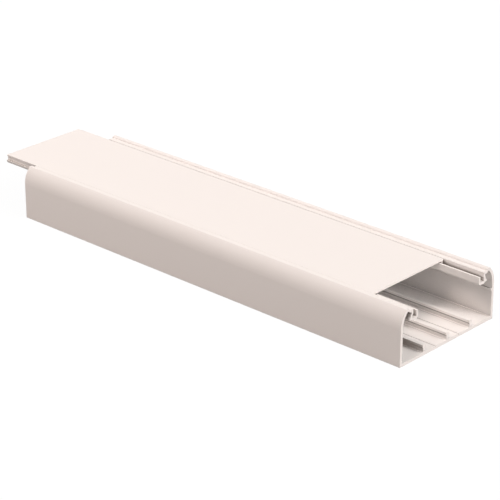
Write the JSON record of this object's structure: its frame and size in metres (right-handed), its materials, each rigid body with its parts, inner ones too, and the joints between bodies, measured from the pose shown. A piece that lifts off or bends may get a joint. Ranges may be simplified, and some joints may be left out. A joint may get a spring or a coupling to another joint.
{
  "type": "cable trunking",
  "caption": "Shallow plastic cable trunking: a channel with curled lips, inner gutters and floor ribs, closed by a flat snap-in cover that is slid part way along.",
  "frame": {"origin": "middle of the channel's flat back face", "axes": "+X along the trunking, towards the end that the slid cover leaves open; +Y across it; +Z away from the wall, out of the cover"},
  "size_m": [0.3973, 0.1, 0.0402],
  "materials": {
    "rigid_pvc": "satin"
  },
  "bodies": {
    "channel": {"base_channel": "rigid_pvc"},
    "cover": {"snap_cover": "rigid_pvc"}
  },
  "joints": [
    {"name": "cover_slide", "type": "slide", "parent": "channel", "child": "cover", "axis": [1, 0, 0], "range_m": [-0.34, 0.405]}
  ]
}
